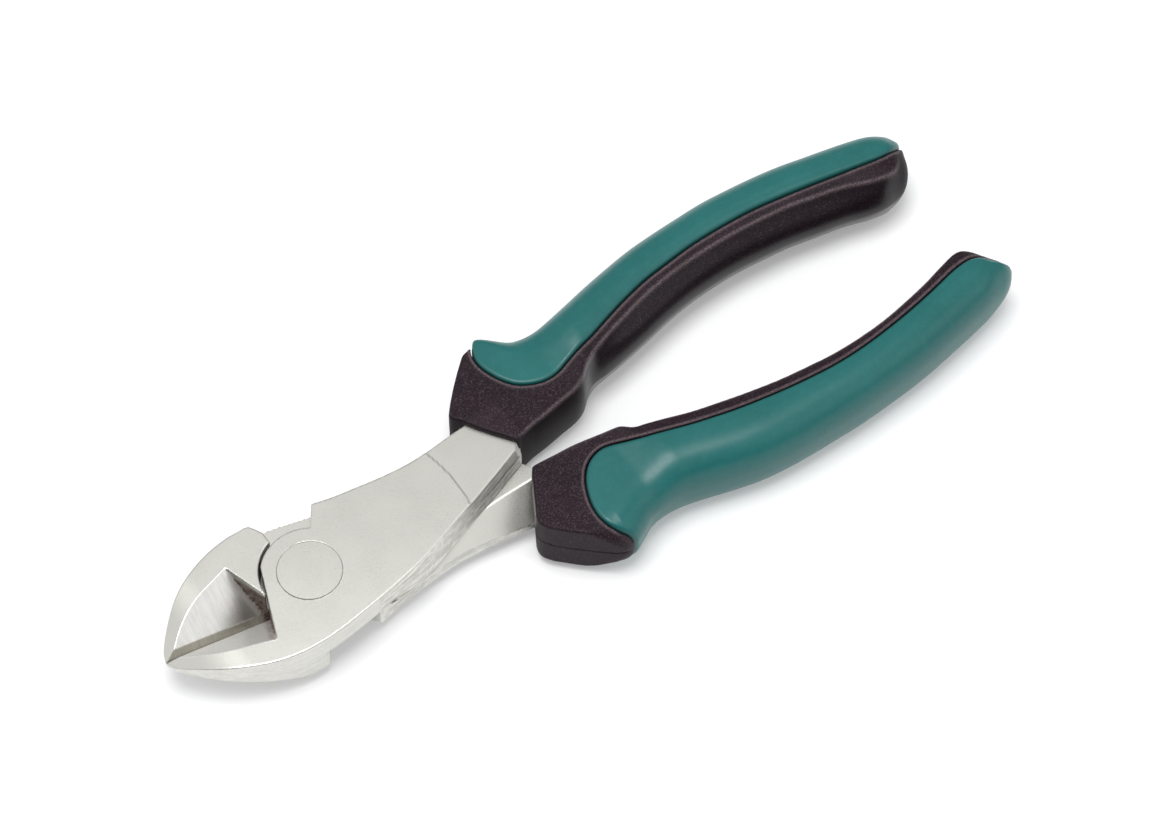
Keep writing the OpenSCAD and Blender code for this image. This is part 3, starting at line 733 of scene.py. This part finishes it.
BLACK = black_material()
GREEN = green_material()
hg = 0.31
for side, s, body, args in (("upper", 1, "upper_lever", (UPPER_FRONT, UPPER_IN, UPPER_OUT, UPPER_COVER)),
                            ("lower", -1, "lower_lever", (LOWER_FRONT, LOWER_IN, LOWER_OUT, LOWER_COVER))):
    g = Grip(*args, 0.25)
    xs = np.arange(38.3, 152.8, hg)
    ys = np.arange(-0.6, 30.2, hg)
    nz = int(8.9 / hg)
    zs = np.arange(-nz, nz + 1) * hg

    for part, fn in (("core", g.core), ("cover", g.cover)):
        V, Q, N = solid(fn, xs, ys, zs, 0.6 * hg)
        x, Y, Z = V.T
        dc = g.C(x, Y)
        # edge: convex edges, where the materials paint a highlight
        q = V - N * 0.7
        edge = np.clip((1 + fn(q[:, 0], q[:, 1], q[:, 2]) / 0.7 - 0.10) / 0.6, 0, 1)
        gi, go = tab(x, g.inn), tab(x, g.out)
        at = {"edge": edge}
        if part == "core":
            at["gloss"] = np.clip(1 - sm(np.abs(N[:, 2]), 0.45, 0.85), 0, 1) * (1 - sm((Y - gi) / np.maximum(go - gi, 1), 0.4, 0.6))
            at["coat"] = at["gloss"] * sm(x, 62, 70) * (1 - sm(x, 141, 146))
            d = -g.F(x, Y)
            # line: where a highlight is painted along the ridge and beside the green's rim
            at["line"] = np.clip(bump(d - g.rid(x), 0.05, 0.30) * sm(np.abs(Z), 5.3, 5.9) * sm(x, 47, 50) * (1 - sm(x, 143, 148))
                                 * (Y < (gi + go) / 2) + 0.9 * bump(dc, 0.52, 0.20) * sm(np.abs(Z), 4.5, 5.5), 0, 1)
        else:
            at["rim"] = np.exp(-np.clip(-dc - 0.20, 0, None) / 0.16)
        V2 = V * np.array([1, s, s])
        N2 = N * np.array([1, s, s])
        piece(f"{side}_grip_{'hard_core' if part == 'core' else 'soft_cover'}", V2, Q, N2, body, f"{side}_grip_{part}",
              BLACK if part == "core" else GREEN, at)


# --------------------------------------------------------------------- stage
def floor():
    me = bpy.data.meshes.new("floor")
    z = -0.0032
    R = 3.0
    me.from_pydata([(-R, -R, z), (R, -R, z), (R, R, z), (-R, R, z)], [], [(0, 1, 2, 3)])
    ob = bpy.data.objects.new("floor", me)
    bpy.context.scene.collection.objects.link(ob)
    m, nt, bsdf, vec = new_mat("pale_floor")
    n = noise(nt, vec, 3, 3, 0.5)
    nt.links.new(mixc(nt, n, (0.70, 0.703, 0.707), (0.73, 0.732, 0.735)), bsdf.inputs["Base Color"])
    bsdf.inputs["Roughness"].default_value = 0.9
    bsdf.inputs["Specular IOR Level"].default_value = 0.1
    # the floor also glows faintly: painted light that lifts the shadows on it
    bsdf.inputs["Emission Color"].default_value = (0.98, 0.99, 1.0, 1)
    bsdf.inputs["Emission Strength"].default_value = 0.24
    me.materials.append(m)


floor()


def area(name, loc, target, size, power, size_y=None, color=(1, 1, 1)):
    li = bpy.data.lights.new(name, "AREA")
    li.shape = "RECTANGLE"
    li.size, li.size_y = size, size_y or size
    li.energy = power
    li.color = color
    ob = bpy.data.objects.new(name, li)
    ob.location = loc
    ob.rotation_euler = (Vector(target) - Vector(loc)).to_track_quat("-Z", "Y").to_euler()
    bpy.context.scene.collection.objects.link(ob)
    return ob


th = math.radians(33.8)
e = math.radians(58.6)
fwd = Vector((math.cos(e) * math.sin(th), math.cos(e) * math.cos(th), -math.sin(e)))
right = Vector((math.cos(th), -math.sin(th), 0))
up = right.cross(fwd)
away = Vector((fwd.x, fwd.y, 0)).normalized()
C0 = Vector((0.06, 0, 0))

area("overhead", C0 - right * 0.07 - away * 0.07 + Vector((0, 0, 0.92)), C0, 0.46, 6.2)

world = bpy.data.worlds.new("studio")
bpy.context.scene.world = world
world.use_nodes = True
wt = world.node_tree
wt.nodes.clear()
wo = wt.nodes.new("ShaderNodeOutputWorld")
bg = wt.nodes.new("ShaderNodeBackground")
tc = wt.nodes.new("ShaderNodeTexCoord")
sep = wt.nodes.new("ShaderNodeSeparateXYZ")
wt.links.new(tc.outputs["Generated"], sep.inputs[0])
cr = wt.nodes.new("ShaderNodeValToRGB")
cr.color_ramp.interpolation = "EASE"
for i, (pos, val) in enumerate([(0.0, 0.14), (0.10, 0.22), (0.45, 0.56), (0.80, 0.60), (1.0, 0.72)]):
    el = cr.color_ramp.elements[i] if i < 2 else cr.color_ramp.elements.new(pos)
    el.position = pos
    el.color = (val, val, val, 1)
wt.links.new(sep.outputs[2], cr.inputs[0])


def facing(d, lo, hi, a, b):
    """A soft step from a to b as the direction looked along turns towards d."""
    dp = wt.nodes.new("ShaderNodeVectorMath")
    dp.operation = "DOT_PRODUCT"
    wt.links.new(tc.outputs["Generated"], dp.inputs[0])
    dp.inputs[1].default_value = d
    mr = wt.nodes.new("ShaderNodeMapRange")
    mr.interpolation_type = "SMOOTHSTEP"
    for k, v in zip(("From Min", "From Max", "To Min", "To Max"), (lo, hi, a, b)):
        mr.inputs[k].default_value = v
    wt.links.new(dp.outputs["Value"], mr.inputs["Value"])
    return mr.outputs[0]


back = facing(tuple(away), -0.95, -0.45, 0.35, 1.0)
side_l = facing(tuple(-right), 0.35, 0.90, 0.0, 0.42)
card = facing((0.5886, -0.6302, 0.5056), 0.86, 0.97, 0.0, 0.75)
lit = math_(wt, "ADD", math_(wt, "MULTIPLY", cr.outputs[0], back), math_(wt, "ADD", card, side_l))
wt.links.new(lit, bg.inputs["Strength"])
bg.inputs["Color"].default_value = (1.0, 1.0, 1.0, 1)
wt.links.new(bg.outputs[0], wo.inputs[0])

cam = bpy.data.cameras.new("camera")
cam.sensor_fit = "HORIZONTAL"
cam.sensor_width = 36
cam.lens = 4000 / 1169 * 36
cam.clip_start, cam.clip_end = 0.05, 20
co = bpy.data.objects.new("camera", cam)
M = Matrix((
    (right.x, up.x, -fwd.x, -0.16039),
    (right.y, up.y, -fwd.y, -0.33213),
    (right.z, up.z, -fwd.z, 0.66505),
    (0, 0, 0, 1),
))
co.matrix_world = M
bpy.context.scene.collection.objects.link(co)
bpy.context.scene.camera = co
bpy.context.scene.view_settings.view_transform = "Standard"
bpy.context.scene.view_settings.look = "None"
